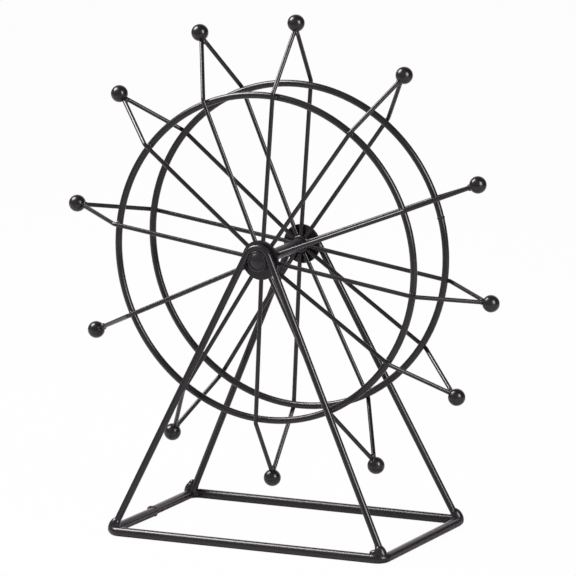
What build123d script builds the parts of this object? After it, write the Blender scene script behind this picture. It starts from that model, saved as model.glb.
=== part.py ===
from build123d import *
import os
from math import asin, atan2, cos, hypot, radians, sin, sqrt, tan

# Desk-top Ferris wheel ornament of bent and welded iron wire, coated black.
# The wheel turns by hand on a fixed axle between two A-frames on a wire base.
# Millimetres. +Z up, the axle along Y, the front of the wheel towards -Y.
# The origin is on the table, midway between the four corners of the base.

# ---- Driving dimensions ----

# Base: one rod bent to a rectangle, its ends butt-welded in the left side.
base_rod = 5.5
base_half_width = 88.2        # centre line of the left and right sides, from X = 0
base_half_depth = 52.0        # centre line of the front and rear sides, from Y = 0
base_corner_radius = 5.5      # centre line of a corner bend
butt_gap = 0.8                # slit between the rod's two ends
butt_step = 1.4               # how far the front end springs inwards
butt_bead_width = 3.4
butt_bead_proud = 0.7         # how far the bead stands out of the rod

# A-frames: one rod each, bent over the axle's end, leaning in towards the wheel.
axle_height = 165.0
leg_rod = 4.0
foot_inset_x = 0.8            # how far in a foot stands from the side's centre line
foot_inset_y = 2.4            # and from the front or rear centre line
top_bend_radius = 7.8         # centre line of the bend round the end cap
top_bend_y = 30.5             # centre line of the bend, at axle height

# Weld at each foot of the A-frames: a bead along the leg, down to the table.
foot_bead_radius = 3.4
foot_bead_length = 10.8
foot_bead_rise = 5.4          # height of the bead's middle
inner_bead_length = 6.8       # the extra bead along the front rod, at one foot
inner_bead_radius = 2.3

# Axle and its end caps.
axle_diameter = 4.0
cap_dome = 2.4                # height of the domed end beyond the bend's centre line

# Hub: a tube that turns on the axle, with a disc welded round each end.
hub_tube_diameter = 7.0
hub_disc_diameter = 23.0
hub_disc_thickness = 1.5
hub_weld_length = 2.6         # the bead round the tube, along the axle
hub_weld_neck = 0.9           # its thickness at the narrow end

# Rings, spokes and balls.
ring_radius = 95.0            # centre line of the ring's wire
ring_wire = 4.0
ring_y = 21.1                 # centre line of each ring, from Y = 0
spoke_wire = 2.5
spoke_bend_radius = 4.0       # centre line of the bend just outside the ring
spoke_bend_reach = 2.0        # how far outside the ring's centre line it bends
ball_diameter = 10.0
ball_reach = 134.7            # from the axle to a ball's centre

# The spikes are set by hand, so each is a degree or two off its twelfth of a turn.
# Clockwise from the top, seen from the front.
spike_angles = (5, 36.5, 69, 98.5, 124.5, 154, 183.5, 213, 245.5, 278, 309.5, 338)

# ---- Fits and clearances ----

bore_clearance = 0.05         # radial, where the hub tube turns on the axle
seat_clearance = 0.05         # radial, where a welded piece sits round another
side_play = 0.3               # between the hub and what holds the axle, each side
weld_clearance = 0.02         # between wires that are welded where they touch
spoke_gap = 0.1               # between neighbouring spokes at the hub
tip_gap = 0.3                 # half the notch between two wires where they meet a ball

# ---- Sizes worked out from those ----

front, rear = -1, 1
left, right = -1, 1
rod_height = base_rod / 2
foot_x = base_half_width - foot_inset_x
foot_y = base_half_depth - foot_inset_y

lean_angle = atan2(foot_y - top_bend_y, axle_height - rod_height)
leg_drop = hypot(foot_y - top_bend_y, axle_height - rod_height)
leg_angle = atan2(foot_x, leg_drop) - asin(top_bend_radius / hypot(foot_x, leg_drop))
leg_slope = tan(leg_angle) / cos(lean_angle)
apex_rise = top_bend_radius / sin(leg_angle)

# How far each foot's bead is heaped outwards of its leg. They were laid by hand.
bead_shift = {(front, left): 0.3, (front, right): -0.3, (rear, left): 2.2, (rear, right): 0.9}
heavy_foot = (front, right)

cap_radius = top_bend_radius * cos(lean_angle) - leg_rod / 2 - seat_clearance
cap_inner_y = top_bend_y - top_bend_radius * sin(lean_angle) - leg_rod / 2
hub_half_length = cap_inner_y - side_play
disc_inner_y = hub_half_length - hub_disc_thickness
disc_radius = hub_disc_diameter / 2
bore_radius = axle_diameter / 2 + bore_clearance

ball_radius = ball_diameter / 2
spoke_hub_y = disc_inner_y - spoke_wire / 2 - weld_clearance
spoke_ring_y = ring_y + (ring_wire + spoke_wire) / 2 + weld_clearance
tip_y = spoke_wire / 2 + tip_gap
tip_reach = ball_reach - sqrt(ball_radius**2 - tip_y**2)
angle_steps = [b - a for a, b in zip(spike_angles, spike_angles[1:] + (spike_angles[0] + 360,))]
spoke_inner_reach = (spoke_wire + spoke_gap) / (2 * sin(radians(min(angle_steps)) / 2))

axle_centre = (0, 0, axle_height)


# ---- Base ----

def base_frame():
    """A rod bent round four corners, open by a slit in the middle of the left side."""
    half_gap = butt_gap / 2
    corners = [
        (-base_half_width + butt_step, -half_gap),
        (-base_half_width, -base_half_depth),
        (base_half_width, -base_half_depth),
        (base_half_width, base_half_depth),
        (-base_half_width, base_half_depth),
        (-base_half_width, half_gap),
    ]
    with BuildPart() as frame:
        with BuildLine(Plane.XY.offset(rod_height)) as route:
            FilletPolyline(*corners, radius=base_corner_radius)
        with BuildSketch(Plane(route.line @ 0, z_dir=route.line % 0)):
            Circle(base_rod / 2)
        sweep(path=route.line)
    return frame.part


def base_butt_weld(frame):
    """The bead that fills the slit and stands a little proud of the rod."""
    centre = (-base_half_width + butt_step / 2, 0, rod_height)
    with BuildPart() as bead:
        with BuildSketch(Plane(centre, x_dir=(0, 1, 0), z_dir=(1, 0, 0))):
            Ellipse(butt_bead_width / 2, rod_height + butt_bead_proud)
            Rectangle(butt_bead_width, base_rod * 2, align=(Align.CENTER, Align.MAX), mode=Mode.SUBTRACT)
        revolve(axis=Axis(centre, (0, 1, 0)))
        floor_cut = Plane((centre[0], 0, 0))
        split(bisect_by=floor_cut, keep=Keep.TOP)
        add(frame, mode=Mode.SUBTRACT)
    return bead.part


# ---- A-frames ----

def a_frame(side, base):
    """Two straight legs and the bend over the axle's end, coped to fit on the base."""
    rise = (0, -side * sin(lean_angle), cos(lean_angle))
    face = Plane(
        (0, side * top_bend_y, axle_height), x_dir=(1, 0, 0), z_dir=Vector(1, 0, 0).cross(Vector(rise))
    )
    with BuildPart() as frame:
        with BuildLine(face) as route:
            FilletPolyline((-foot_x, -leg_drop), (0, apex_rise), (foot_x, -leg_drop), radius=top_bend_radius)
        with BuildSketch(Plane(route.line @ 0, z_dir=route.line % 0)):
            Circle(leg_rod / 2)
        sweep(path=route.line)
        add(base, mode=Mode.SUBTRACT)
    return frame.part


def weld_run(centre, way, length, radius):
    """One run of weld, thickest in the middle and tapering to nothing at both ends."""
    way = Vector(way)
    place = Plane(centre, x_dir=way.cross(Vector(0, 1, 0)), z_dir=way)
    with BuildPart() as run:
        Sphere(radius)
        scale(by=(1, 1, length / 2 / radius))
    return run.part.moved(place.location)


def foot_welds(side, frame, base):
    """The beads at one A-frame's two feet, each laid along the leg and over the base's corner."""
    climb = foot_bead_rise - rod_height
    runs = []
    for hand in (left, right):
        leg_way = Vector(-hand * leg_slope, -side * tan(lean_angle), 1)
        foot = Vector(hand * (foot_x + bead_shift[side, hand]), side * foot_y, rod_height)
        runs.append(weld_run(foot + leg_way * climb, leg_way, foot_bead_length, foot_bead_radius))
        if (side, hand) == heavy_foot:
            middle_x = foot_x - climb * leg_slope - inner_bead_length / 2
            middle = (hand * middle_x, side * (foot_y + foot_inset_y / 2), base_rod)
            runs.append(weld_run(middle, (1, 0, 0), inner_bead_length, inner_bead_radius))
    with BuildPart() as welds:
        for run in runs:
            add(run)
        add(base, mode=Mode.SUBTRACT)
        add(frame, mode=Mode.SUBTRACT)
    return welds.part


# ---- Axle ----

def axle():
    """A plain rod between the two end caps."""
    with BuildPart() as rod:
        with BuildSketch(Plane(axle_centre, z_dir=(0, 1, 0))):
            Circle(axle_diameter / 2)
        extrude(amount=cap_inner_y, both=True)
    return rod.part


def end_cap(side):
    """A round boss that fills the A-frame's bend, with a domed outer end."""
    profile_plane = Plane(axle_centre, x_dir=(0, side, 0), z_dir=(-side, 0, 0))
    rim, top = top_bend_y, top_bend_y + cap_dome
    with BuildPart() as cap:
        with BuildSketch(profile_plane):
            with BuildLine():
                Polyline((rim, cap_radius), (cap_inner_y, cap_radius), (cap_inner_y, 0), (top, 0))
                ThreePointArc((top, 0), (rim + cap_dome * 0.75, cap_radius * 0.55), (rim, cap_radius))
            make_face()
        revolve(axis=Axis(axle_centre, (0, 1, 0)))
    return cap.part


# ---- Hub ----

def hub_tube():
    """The tube that turns on the axle, as long as the hub."""
    with BuildPart() as tube:
        with BuildSketch(Plane(axle_centre, z_dir=(0, 1, 0))):
            Circle(hub_tube_diameter / 2)
            Circle(bore_radius, mode=Mode.SUBTRACT)
        extrude(amount=hub_half_length, both=True)
    return tube.part


def hub_disc(side):
    """A flat disc round one end of the tube. The spokes lie on its inner face."""
    with BuildPart() as disc:
        with BuildSketch(Plane((0, side * disc_inner_y, axle_height), z_dir=(0, side, 0))):
            Circle(disc_radius)
            Circle(hub_tube_diameter / 2 + seat_clearance, mode=Mode.SUBTRACT)
        extrude(amount=hub_disc_thickness)
    return disc.part


def hub_weld(side):
    """The bead that joins the tube, the disc's inner face and the spokes' ends."""
    inside = hub_tube_diameter / 2 + seat_clearance
    outside = spoke_inner_reach - spoke_gap
    face, neck = disc_inner_y, disc_inner_y - hub_weld_length
    with BuildPart() as bead:
        with BuildSketch(Plane(axle_centre, x_dir=(0, side, 0), z_dir=(-side, 0, 0))):
            with BuildLine():
                Polyline((neck, inside + hub_weld_neck), (neck, inside), (face, inside), (face, outside))
                ThreePointArc(
                    (face, outside),
                    ((face + neck) / 2 - 0.4, (outside + inside + hub_weld_neck) / 2 + 0.4),
                    (neck, inside + hub_weld_neck),
                )
            make_face()
        revolve(axis=Axis(axle_centre, (0, 1, 0)))
    return bead.part


# ---- Rings, spokes and balls ----

def ring(side):
    """A closed hoop of round wire."""
    with BuildPart() as hoop:
        with BuildSketch(Plane(axle_centre, x_dir=(1, 0, 0), z_dir=(0, 0, 1))):
            with Locations((ring_radius, side * ring_y)):
                Circle(ring_wire / 2)
        revolve(axis=Axis(axle_centre, (0, 1, 0)))
    return hoop.part


def spike_direction(angle):
    """The way that a spike points, in the wheel's own plane."""
    return Vector(sin(radians(angle)), 0, cos(radians(angle)))


def spoke(side, angle):
    """Out from the hub disc, over the ring's outer face, then in to the ball."""
    outward = spike_direction(angle)
    sheet = Plane(axle_centre, x_dir=outward, z_dir=outward.cross(Vector(0, side, 0)))
    bend_reach = ring_radius + spoke_bend_reach
    slope = (spoke_ring_y - spoke_hub_y) / (ring_radius - disc_radius)
    start_y = spoke_hub_y - slope * (disc_radius - spoke_inner_reach)
    bend_y = spoke_ring_y + slope * spoke_bend_reach
    into_ball = 1 + ball_radius / 2 / hypot(tip_reach - bend_reach, bend_y - tip_y)
    end_reach = bend_reach + (tip_reach - bend_reach) * into_ball
    end_y = bend_y + (tip_y - bend_y) * into_ball
    with BuildPart() as wire:
        with BuildLine(sheet) as route:
            FilletPolyline(
                (spoke_inner_reach, start_y), (bend_reach, bend_y), (end_reach, end_y),
                radius=spoke_bend_radius,
            )
        with BuildSketch(Plane(route.line @ 0, z_dir=route.line % 0)):
            Circle(spoke_wire / 2)
        sweep(path=route.line)
        with Locations(Plane(Vector(*axle_centre) + outward * ball_reach)):
            Sphere(ball_radius, mode=Mode.SUBTRACT)
    return wire.part


def ball(angle):
    """A solid ball, welded on where its two spokes meet."""
    with BuildPart() as bead:
        with Locations(Plane(Vector(*axle_centre) + spike_direction(angle) * ball_reach)):
            Sphere(ball_radius)
    return bead.part


# ---- Every piece, one STEP file each ----

def write(name, part):
    part.label = name
    export_step(part, f"parts/{name}.step")


os.makedirs("parts", exist_ok=True)

base = base_frame()
write("base_frame", base)
write("base_butt_weld", base_butt_weld(base))

for side, name in ((front, "front"), (rear, "rear")):
    legs = a_frame(side, base)
    write(f"{name}_a_frame", legs)
    write(f"{name}_foot_welds", foot_welds(side, legs, base))
    write(f"{name}_end_cap", end_cap(side))
    write(f"{name}_hub_disc", hub_disc(side))
    write(f"{name}_hub_weld", hub_weld(side))
    write(f"{name}_ring", ring(side))
    for number, angle in enumerate(spike_angles, start=1):
        write(f"{name}_spoke_{number:02d}", spoke(side, angle))

write("axle", axle())
write("hub_tube", hub_tube())
for number, angle in enumerate(spike_angles, start=1):
    write(f"ball_{number:02d}", ball(angle))
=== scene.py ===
from math import cos, pi, radians, sin

import bpy
import bmesh
from mathutils import Matrix, Vector


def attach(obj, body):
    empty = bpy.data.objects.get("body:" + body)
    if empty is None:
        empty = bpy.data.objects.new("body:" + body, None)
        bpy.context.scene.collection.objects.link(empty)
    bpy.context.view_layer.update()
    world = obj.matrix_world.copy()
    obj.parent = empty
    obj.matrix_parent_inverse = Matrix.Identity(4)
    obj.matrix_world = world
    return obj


# A table-top Ferris wheel of bent and welded iron wire, stove-enamelled black.
# Metres, in the same frame as the solids: +Z up, the axle along Y, the front towards -Y.
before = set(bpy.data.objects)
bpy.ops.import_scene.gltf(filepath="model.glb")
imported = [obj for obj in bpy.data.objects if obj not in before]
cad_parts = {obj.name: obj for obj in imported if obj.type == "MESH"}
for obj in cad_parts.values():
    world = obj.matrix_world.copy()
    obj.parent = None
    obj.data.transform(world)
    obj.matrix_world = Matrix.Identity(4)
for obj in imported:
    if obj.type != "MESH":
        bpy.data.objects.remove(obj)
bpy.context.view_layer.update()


# ---- Base ----
# One round iron rod bent to a rectangle and laid flat. The whole ornament is dipped and
# stoved after welding, so it has one satin black skin with the faint ripple of baked enamel.

enamel_tint = (0.009, 0.008, 0.0095)


def satin_black(name, tint, gloss, ripple_size, ripple_depth):
    """Black enamel. gloss is the lowest and highest roughness, and the ripple is in metres."""
    finish = bpy.data.materials.new(name)
    finish.use_nodes = True
    tree = finish.node_tree
    skin = tree.nodes["Principled BSDF"]
    place = tree.nodes.new("ShaderNodeTexCoord")

    patches_per_metre = 55
    patches = tree.nodes.new("ShaderNodeTexNoise")
    patches.inputs["Scale"].default_value = patches_per_metre
    patches.inputs["Detail"].default_value = 3
    tree.links.new(place.outputs["Object"], patches.inputs["Vector"])

    darker, lighter = 0.8, 1.2
    shade = tree.nodes.new("ShaderNodeValToRGB")
    shade.color_ramp.elements[0].position = 0.35
    shade.color_ramp.elements[0].color = (*[share * darker for share in tint], 1)
    shade.color_ramp.elements[1].position = 0.7
    shade.color_ramp.elements[1].color = (*[share * lighter for share in tint], 1)
    tree.links.new(patches.outputs["Fac"], shade.inputs["Fac"])
    tree.links.new(shade.outputs["Color"], skin.inputs["Base Color"])

    polish = tree.nodes.new("ShaderNodeMapRange")
    polish.inputs["From Min"].default_value = 0.3
    polish.inputs["From Max"].default_value = 0.7
    polish.inputs["To Min"].default_value = gloss[0]
    polish.inputs["To Max"].default_value = gloss[1]
    tree.links.new(patches.outputs["Fac"], polish.inputs["Value"])
    tree.links.new(polish.outputs["Result"], skin.inputs["Roughness"])

    ripple = tree.nodes.new("ShaderNodeTexNoise")
    ripple.inputs["Scale"].default_value = 1 / ripple_size
    ripple.inputs["Detail"].default_value = 2
    tree.links.new(place.outputs["Object"], ripple.inputs["Vector"])
    relief = tree.nodes.new("ShaderNodeBump")
    relief.inputs["Distance"].default_value = ripple_depth
    relief.inputs["Strength"].default_value = 1
    tree.links.new(ripple.outputs["Fac"], relief.inputs["Height"])
    tree.links.new(relief.outputs["Normal"], skin.inputs["Normal"])

    # A breath of mauve where the surface is seen at a low angle.
    skin.inputs["Sheen Weight"].default_value = 0.12
    skin.inputs["Sheen Roughness"].default_value = 0.35
    skin.inputs["Sheen Tint"].default_value = (1, 0.88, 0.97, 1)
    return finish


def enamel(nodes, finish):
    """Gives the finish to solids that already have the right shape."""
    for node in nodes:
        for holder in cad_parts[node].material_slots:
            holder.material = finish


rod_black = satin_black(
    "rod_black", enamel_tint, gloss=(0.22, 0.30), ripple_size=0.003, ripple_depth=0.00001)
enamel(["base_frame"], rod_black)


# ---- Welds of the base and feet ----
# Beads left as they cooled and only brushed before enamelling, so they are rougher and
# lumpier than the drawn rod. Runs too fine for the solids are added to them: a lump on the
# butt joint, and fillets that climb the legs at the rear left and front right feet.

weld_black = satin_black(
    "weld_black", enamel_tint, gloss=(0.24, 0.34), ripple_size=0.0018, ripple_depth=0.00005)
enamel(["front_foot_welds", "rear_foot_welds"], weld_black)
scorched_tint = (0.007, 0.004, 0.003)
scorched = satin_black(
    "scorched", scorched_tint, gloss=(0.5, 0.65), ripple_size=0.0011, ripple_depth=0.00006)
enamel(["base_butt_weld"], scorched)


def lump(shape, centre, along, size):
    """Adds one rounded run of weld. size is its two radii across and its half length along."""
    turn = Vector(along).to_track_quat("Z", "Y").to_matrix().to_4x4()
    stretch = Matrix.Diagonal((*size, 1))
    place = Matrix.Translation(centre) @ turn @ stretch
    bmesh.ops.create_uvsphere(shape, u_segments=20, v_segments=12, radius=1, matrix=place)


def flare(shape, foot, along, rise, reach):
    """Adds a hollow-sided fillet, reach wide at the foot, that ends inside the leg's skin."""
    top_radius = 0.0019
    bends = 6
    around = bmesh.new()
    corners = [(0, rise)]
    for bend in range(bends + 1):
        turn = radians(90 - 90 * bend / bends)
        corners.append((reach - (reach - top_radius) * sin(turn), rise - rise * cos(turn)))
    corners.append((0, 0))
    rim = [around.verts.new((radius, 0, height)) for radius, height in corners]
    edges = [around.edges.new(pair) for pair in zip(rim, rim[1:])]
    bmesh.ops.spin(around, geom=rim + edges, cent=(0, 0, 0), axis=(0, 0, 1), angle=radians(360),
                   steps=24, use_merge=True)
    bmesh.ops.remove_doubles(around, verts=around.verts, dist=0.00001)
    bmesh.ops.recalc_face_normals(around, faces=around.faces)
    turned = Vector(along).to_track_quat("Z", "Y").to_matrix().to_4x4()
    bmesh.ops.transform(around, matrix=Matrix.Translation(foot) @ turned, verts=around.verts)
    fillet = bpy.data.meshes.new("flare")
    around.to_mesh(fillet)
    around.free()
    shape.from_mesh(fillet)
    bpy.data.meshes.remove(fillet)


def weld_piece(name, shape, body, finish):
    """Makes the runs in a shape one smooth piece that rides on a body."""
    for face in shape.faces:
        face.smooth = True
    mesh = bpy.data.meshes.new(name)
    shape.to_mesh(mesh)
    shape.free()
    mesh.materials.append(finish)
    piece = bpy.data.objects.new(name, mesh)
    bpy.context.scene.collection.objects.link(piece)
    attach(piece, body)


butt = bmesh.new()
lump(butt, centre=(-0.0887, -0.0004, 0.0044), along=(0, 1, 0), size=(0.0019, 0.0017, 0.0025))
weld_piece("butt_lump", butt, "stand", scorched)

rear_left_leg = (0.485, -0.118, 1)
front_right_leg = (-0.31, 0.112, 1)
fillets = bmesh.new()
flare(fillets, foot=(-0.0863, 0.0493, 0.0050), along=rear_left_leg, rise=0.008, reach=0.0031)
flare(fillets, foot=(0.0852, -0.0493, 0.0050), along=front_right_leg, rise=0.0075, reach=0.0036)
lump(fillets, centre=(-0.0876, 0.0492, 0.0078), along=rear_left_leg, size=(0.0023, 0.0023, 0.0042))
weld_piece("foot_fillets", fillets, "stand", weld_black)


# ---- A-frames ----
# One drawn rod each, bent over the axle's end, with two straight leaning legs.
# The enamel lies a little smoother on them than on the base.

leg_black = satin_black(
    "leg_black", enamel_tint, gloss=(0.22, 0.30), ripple_size=0.003, ripple_depth=0.000008)
enamel(["front_a_frame", "rear_a_frame"], leg_black)


# ---- Axle and end caps ----
# A plain rod through the hub. The turned caps fill the bends at its two ends, and a fine
# bead of weld runs round each of them.

cap_black = satin_black(
    "cap_black", enamel_tint, gloss=(0.24, 0.32), ripple_size=0.002, ripple_depth=0.00001)
enamel(["axle", "front_end_cap", "rear_end_cap"], cap_black)

axle_centre = Vector((0, 0, 0.165))
axle_way = Vector((0, 1, 0))
cap_bead_y = 0.0308
cap_bead_reach = 0.0053
cap_bead_thickness = 0.0009
cap_beads = bmesh.new()
for side in (-1, 1):
    section_centre = axle_centre + Vector((0, side * cap_bead_y, cap_bead_reach))
    upright = Matrix.Translation(section_centre) @ Matrix.Rotation(radians(90), 4, "Y")
    section = bmesh.ops.create_circle(
        cap_beads, segments=12, radius=cap_bead_thickness, matrix=upright)
    edges = {edge for corner in section["verts"] for edge in corner.link_edges}
    bmesh.ops.spin(cap_beads, geom=section["verts"] + list(edges), cent=axle_centre,
                   axis=axle_way, angle=radians(360), steps=48, use_merge=True)
bmesh.ops.recalc_face_normals(cap_beads, faces=cap_beads.faces)
weld_piece("cap_beads", cap_beads, "stand", weld_black)


# ---- Hub ----
# A tube that turns on the axle, with a pressed disc at each end. The disc's weld to the
# tube is left as rough as those at the feet.

hub_black = satin_black(
    "hub_black", enamel_tint, gloss=(0.24, 0.34), ripple_size=0.002, ripple_depth=0.000012)
enamel(["hub_tube", "front_hub_disc", "rear_hub_disc"], hub_black)
enamel(["front_hub_weld", "rear_hub_weld"], weld_black)


# ---- Rings ----
# Two hoops of the same wire as the legs, rolled and closed. The bead that closes the rear
# one shows on the right, and it is scorched like the base's butt joint.

ring_black = satin_black(
    "ring_black", enamel_tint, gloss=(0.22, 0.30), ripple_size=0.003, ripple_depth=0.000008)
enamel(["front_ring", "rear_ring"], ring_black)

ring_radius = 0.095
ring_wire_y = 0.0211
closing_angle = radians(76)
closing_out = Vector((sin(closing_angle), 0, cos(closing_angle)))
closing_centre = axle_centre + closing_out * ring_radius + axle_way * ring_wire_y
closing = bmesh.new()
lump(closing, closing_centre, along=closing_out.cross(axle_way), size=(0.0023, 0.0023, 0.0016))
weld_piece("ring_closing_bead", closing, "wheel", scorched)


# ---- Spokes ----
# Thin wires, twelve to a side, welded on the discs and over the rings. A small bead lies
# along the ring wherever a spoke crosses it.

spike_count = 12
wire_black = satin_black(
    "wire_black", enamel_tint, gloss=(0.22, 0.30), ripple_size=0.002, ripple_depth=0.000006)
for face in ("front", "rear"):
    enamel([f"{face}_spoke_{number:02d}" for number in range(1, spike_count + 1)], wire_black)


def spike_way(number):
    """The way from the axle to a ball."""
    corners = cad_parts[f"ball_{number:02d}"].bound_box
    centre = sum((Vector(corner) for corner in corners), Vector()) / 8
    return (centre - axle_centre).normalized()


ring_face_y = 0.0230
crossings = bmesh.new()
for number in range(1, spike_count + 1):
    out = spike_way(number)
    for side in (-1, 1):
        contact = axle_centre + out * ring_radius + axle_way * side * ring_face_y
        lump(crossings, contact, along=out.cross(axle_way), size=(0.0009, 0.0016, 0.0021))
weld_piece("crossing_beads", crossings, "wheel", weld_black)


# ---- Balls ----
# Solid balls on the tips, where a front and a rear spoke meet in a bead of weld. They take
# the enamel most evenly and are the glossiest.

ball_black = satin_black(
    "ball_black", enamel_tint, gloss=(0.24, 0.28), ripple_size=0.003, ripple_depth=0.000008)
enamel([f"ball_{number:02d}" for number in range(1, spike_count + 1)], ball_black)

ball_reach = 0.1347
bead_below_ball = 0.0055
tips = bmesh.new()
for number in range(1, spike_count + 1):
    out = spike_way(number)
    tip = axle_centre + out * (ball_reach - bead_below_ball)
    lump(tips, tip, along=out, size=(0.0020, 0.0020, 0.0018))
weld_piece("tip_beads", tips, "wheel", weld_black)


# ---- Floor ----
# A white sheet just under the base. To the camera it is white paper with only a trace of
# the shadow, and to the enamel it is a sheet lit by the lamps.

floor_radius = 3.2
floor_drop = 0.0001
floor_mesh = bpy.data.meshes.new("floor")
sheet = bmesh.new()
bmesh.ops.create_circle(sheet, cap_ends=True, segments=96, radius=floor_radius)
bmesh.ops.translate(sheet, verts=sheet.verts, vec=(0, 0, -floor_drop))
sheet.to_mesh(floor_mesh)
sheet.free()
floor = bpy.data.objects.new("floor", floor_mesh)
bpy.context.scene.collection.objects.link(floor)

paper = bpy.data.materials.new("paper")
paper.use_nodes = True
tree = paper.node_tree
tree.nodes.remove(tree.nodes["Principled BSDF"])
lit = tree.nodes.new("ShaderNodeBsdfDiffuse")
lit.inputs["Color"].default_value = (0.54, 0.52, 0.55, 1)
white = tree.nodes.new("ShaderNodeEmission")
white.inputs["Strength"].default_value = 1
shadow_trace = 0.025
shadow_share = tree.nodes.new("ShaderNodeMixShader")
shadow_share.inputs["Fac"].default_value = shadow_trace
rays = tree.nodes.new("ShaderNodeLightPath")
seen = tree.nodes.new("ShaderNodeMixShader")
tree.links.new(white.outputs["Emission"], shadow_share.inputs[1])
tree.links.new(lit.outputs["BSDF"], shadow_share.inputs[2])
tree.links.new(rays.outputs["Is Camera Ray"], seen.inputs["Fac"])
tree.links.new(lit.outputs["BSDF"], seen.inputs[1])
tree.links.new(shadow_share.outputs["Shader"], seen.inputs[2])
tree.links.new(seen.outputs["Shader"], tree.nodes["Material Output"].inputs["Surface"])
floor_mesh.materials.append(paper)


# ---- Card ----
# A low bright card behind the ornament, most of it on the left. It shows only as a
# reflection in the enamel, where it lights the base's left side rod, and casts no shadow.

card_left, card_right = -0.5, 0.17
card_y = 0.45
card_height = 0.26
card_strength = 1.3
card_corners = ((card_left, card_y, 0), (card_right, card_y, 0),
                (card_right, card_y, card_height), (card_left, card_y, card_height))
card_mesh = bpy.data.meshes.new("card")
sheet = bmesh.new()
sheet.faces.new([sheet.verts.new(corner) for corner in card_corners])
sheet.to_mesh(card_mesh)
sheet.free()
card = bpy.data.objects.new("card", card_mesh)
card.visible_camera = False
card.visible_diffuse = False
card.visible_shadow = False
bpy.context.scene.collection.objects.link(card)

bright_card = bpy.data.materials.new("bright_card")
bright_card.use_nodes = True
tree = bright_card.node_tree
tree.nodes.remove(tree.nodes["Principled BSDF"])
shine = tree.nodes.new("ShaderNodeEmission")
shine.inputs["Color"].default_value = (1, 0.9, 0.97, 1)
shine.inputs["Strength"].default_value = card_strength
tree.links.new(shine.outputs["Emission"], tree.nodes["Material Output"].inputs["Surface"])
card_mesh.materials.append(bright_card)


# ---- Studio ----
# White paper behind, a dim room on the camera's side and a faint light all round. Two soft
# boxes, one high on the left and a tall one on the right, make the balls' highlights.
# Beyond the floor the camera sees plain white.

room = bpy.data.worlds.new("room")
room.use_nodes = True
bpy.context.scene.world = room
tree = room.node_tree
direction = tree.nodes.new("ShaderNodeTexCoord")


def glow(towards, edge, full, strength):
    """Light from round one direction: nothing at the edge's cosine, all of it at the full one."""
    nearness = tree.nodes.new("ShaderNodeVectorMath")
    nearness.operation = "DOT_PRODUCT"
    nearness.inputs[1].default_value = Vector(towards).normalized()
    tree.links.new(direction.outputs["Generated"], nearness.inputs[0])
    amount = tree.nodes.new("ShaderNodeMapRange")
    amount.interpolation_type = "SMOOTHSTEP"
    amount.inputs["From Min"].default_value = edge
    amount.inputs["From Max"].default_value = full
    amount.inputs["To Max"].default_value = strength
    tree.links.new(nearness.outputs["Value"], amount.inputs["Value"])
    return amount.outputs["Result"]


paper_behind = glow(towards=(-0.3, 0.9, 0.3), edge=0.80, full=0.96, strength=0.65)
room_in_front = glow(towards=(-0.3, -0.95, 0.05), edge=-0.1, full=0.8, strength=0.34)
faint_light = 0.06
both = tree.nodes.new("ShaderNodeMath")
both.operation = "ADD"
tree.links.new(paper_behind, both.inputs[0])
tree.links.new(room_in_front, both.inputs[1])
all_round = tree.nodes.new("ShaderNodeMath")
all_round.operation = "ADD"
all_round.inputs[1].default_value = faint_light
tree.links.new(both.outputs["Value"], all_round.inputs[0])
surroundings = tree.nodes["Background"]
tree.links.new(all_round.outputs["Value"], surroundings.inputs["Strength"])
surroundings.inputs["Color"].default_value = (1, 1, 1, 1)
backdrop = tree.nodes.new("ShaderNodeBackground")
backdrop.inputs["Strength"].default_value = 1
rays = tree.nodes.new("ShaderNodeLightPath")
seen = tree.nodes.new("ShaderNodeMixShader")
tree.links.new(rays.outputs["Is Camera Ray"], seen.inputs["Fac"])
tree.links.new(surroundings.outputs["Background"], seen.inputs[1])
tree.links.new(backdrop.outputs["Background"], seen.inputs[2])
tree.links.new(seen.outputs["Shader"], tree.nodes["World Output"].inputs["Surface"])


def soft_box(name, towards, distance, width, height, radiance, colour):
    """A rectangle of even light that faces the wheel."""
    lamp = bpy.data.lights.new(name, "AREA")
    lamp.shape = "RECTANGLE"
    lamp.size = width
    lamp.size_y = height
    lamp.energy = radiance * width * height * pi
    lamp.color = colour
    box = bpy.data.objects.new(name, lamp)
    away = Vector(towards).normalized()
    box.location = axle_centre + away * distance
    box.rotation_mode = "QUATERNION"
    box.rotation_quaternion = away.to_track_quat("Z", "Y")
    box.visible_camera = False
    bpy.context.scene.collection.objects.link(box)


soft_box("high_left", towards=(-0.631, -0.165, 0.757), distance=1.3,
         width=0.55, height=0.7, radiance=22, colour=(1, 0.95, 0.94))
soft_box("tall_right", towards=(0.863, -0.300, 0.407), distance=1.3,
         width=0.45, height=0.8, radiance=13.5, colour=(1, 0.98, 0.98))


# ---- Camera ----
# A long lens, 27 degrees to the right of the front and 12 degrees up, a degree off level.
# All of it was fitted to the outlines of rods, rings and balls in the photo.

azimuth, elevation, roll = radians(26.996), radians(11.619), radians(-0.886)
target = Vector((0.003936, 0, 0.143954))
distance = 3.89863
backwards = Vector((sin(azimuth) * cos(elevation), -cos(azimuth) * cos(elevation), sin(elevation)))
level_right = (-backwards).cross(Vector((0, 0, 1))).normalized()
level_up = level_right.cross(-backwards)
right = level_right * cos(roll) + level_up * sin(roll)
up = level_up * cos(roll) - level_right * sin(roll)
lens = bpy.data.cameras.new("camera")
lens.sensor_width = 36
lens.lens = 422.41
lens.clip_start = 0.1
lens.clip_end = 50
camera = bpy.data.objects.new("camera", lens)
camera.rotation_mode = "QUATERNION"
camera.rotation_quaternion = Matrix((right, up, backwards)).transposed().to_quaternion()
camera.location = target + backwards * distance
bpy.context.scene.collection.objects.link(camera)
bpy.context.scene.camera = camera
bpy.context.scene.view_settings.view_transform = "Standard"
